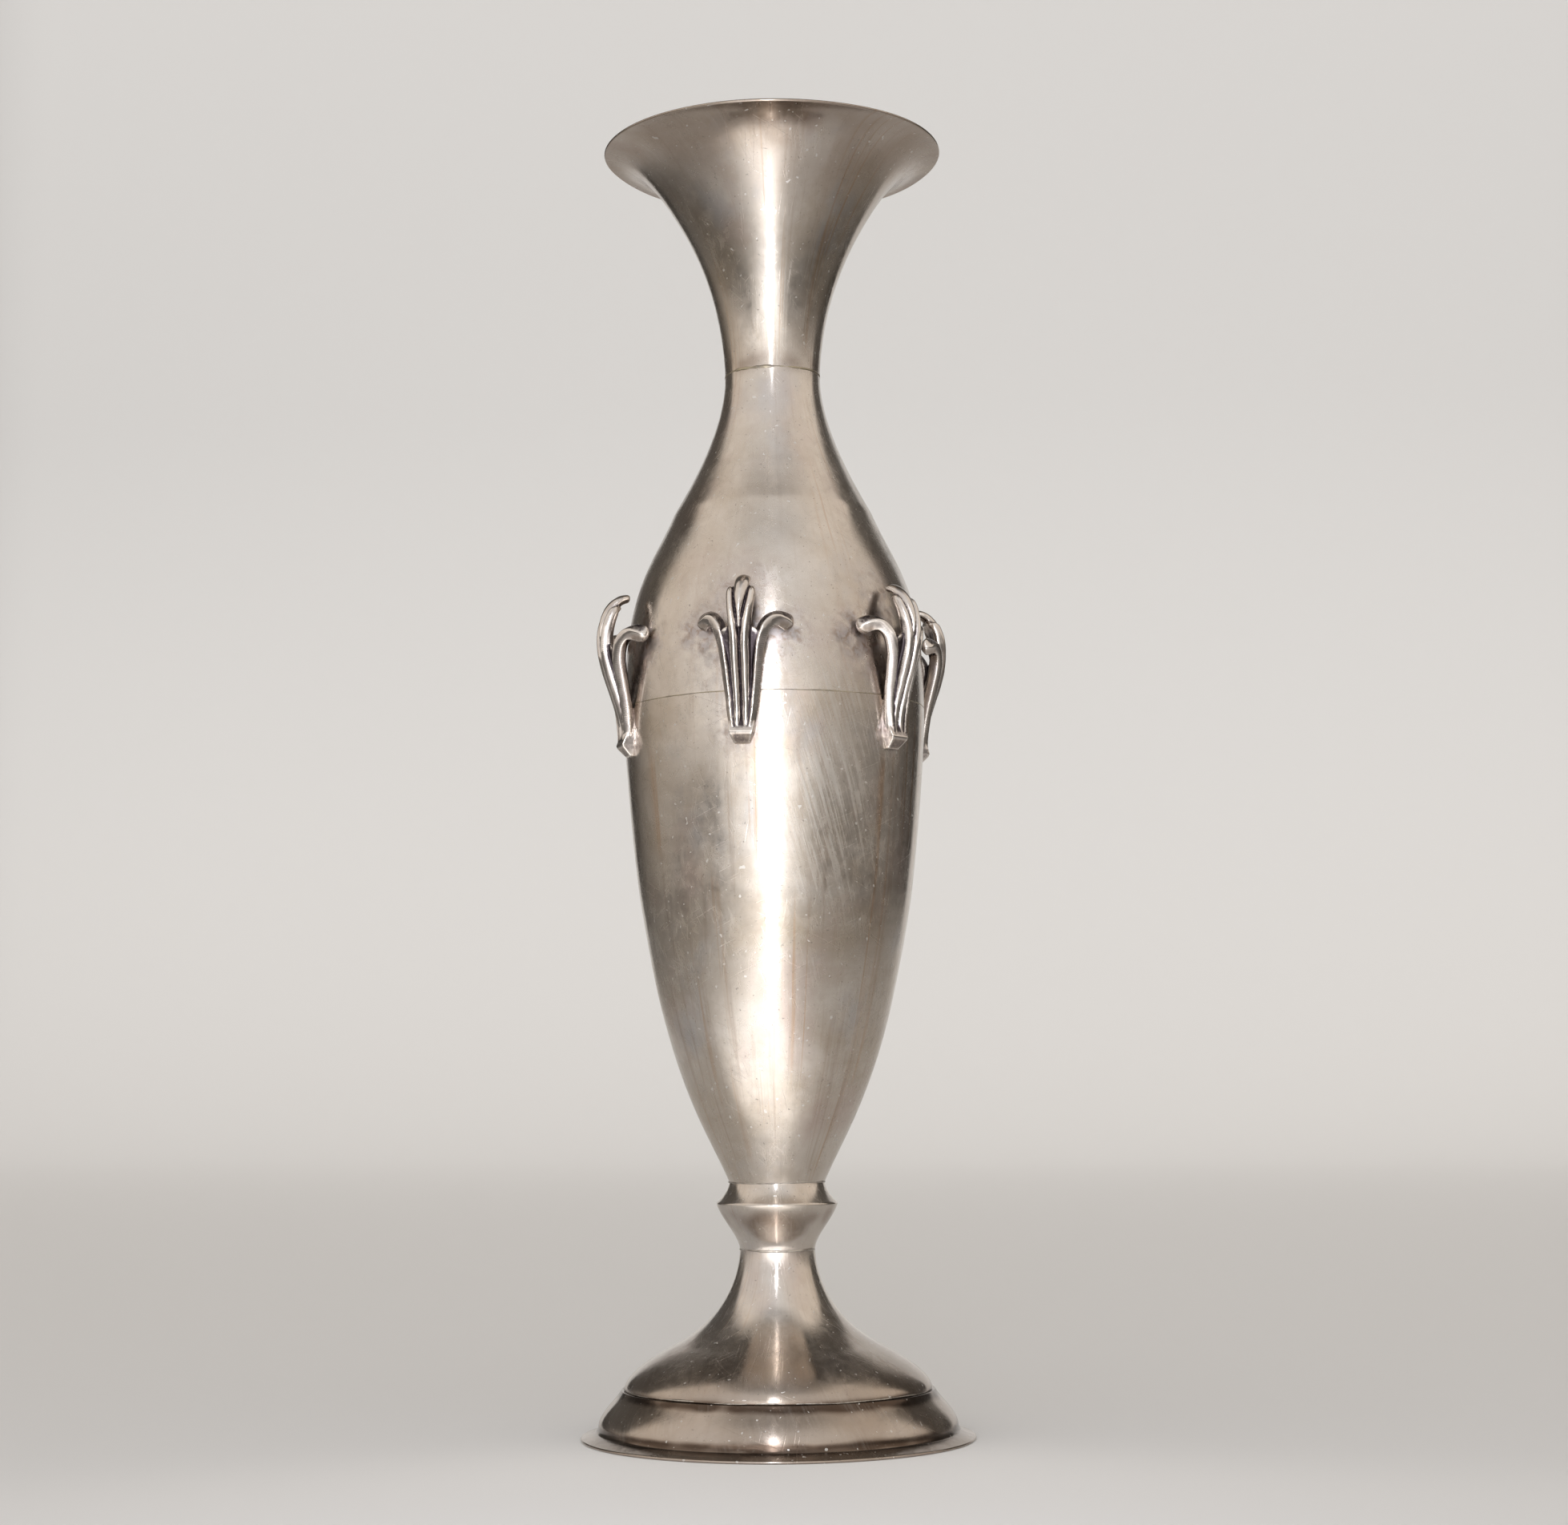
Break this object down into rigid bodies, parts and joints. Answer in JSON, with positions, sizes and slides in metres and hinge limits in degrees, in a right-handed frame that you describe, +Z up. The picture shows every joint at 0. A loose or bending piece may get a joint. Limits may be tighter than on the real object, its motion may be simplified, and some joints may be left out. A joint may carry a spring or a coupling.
{
  "type": "amphora vase",
  "caption": "Tall slender amphora vase in silver plate: trumpet mouth, narrow neck, swelling body with cast leaf brackets at its seam, knop and domed round foot.",
  "frame": {"origin": "on the vase's axis, in the plane of the foot ring's underside that the vase stands on", "axes": "+Z up along the axis of the turned pieces, towards the mouth; one of the brackets faces -Y"},
  "size_m": [0.1044, 0.1044, 0.35],
  "materials": {
    "mouth_silver": "silver plate, polished and lightly tarnished",
    "shoulder_silver": "silver plate, polished and lightly tarnished",
    "belly_silver": "silver plate, scratched and tarnished in patches",
    "knop_silver": "silver plate, polished and lightly tarnished",
    "foot_silver": "silver plate, scratched and tarnished in patches",
    "ring_silver": "silver plate, worn at the edge",
    "bracket_silver": "cast, silver plated, dark patina in the grooves"
  },
  "bodies": {
    "root": {"mouth_trumpet": "mouth_silver", "shoulder_shell": "shoulder_silver", "belly_cup": "belly_silver", "knop_collar": "knop_silver", "foot_shell": "foot_silver", "foot_ring": "ring_silver", "leaf_bracket_1": "bracket_silver", "leaf_bracket_2": "bracket_silver", "leaf_bracket_3": "bracket_silver", "leaf_bracket_4": "bracket_silver", "leaf_bracket_5": "bracket_silver", "leaf_bracket_6": "bracket_silver"}
  },
  "joints": []
}
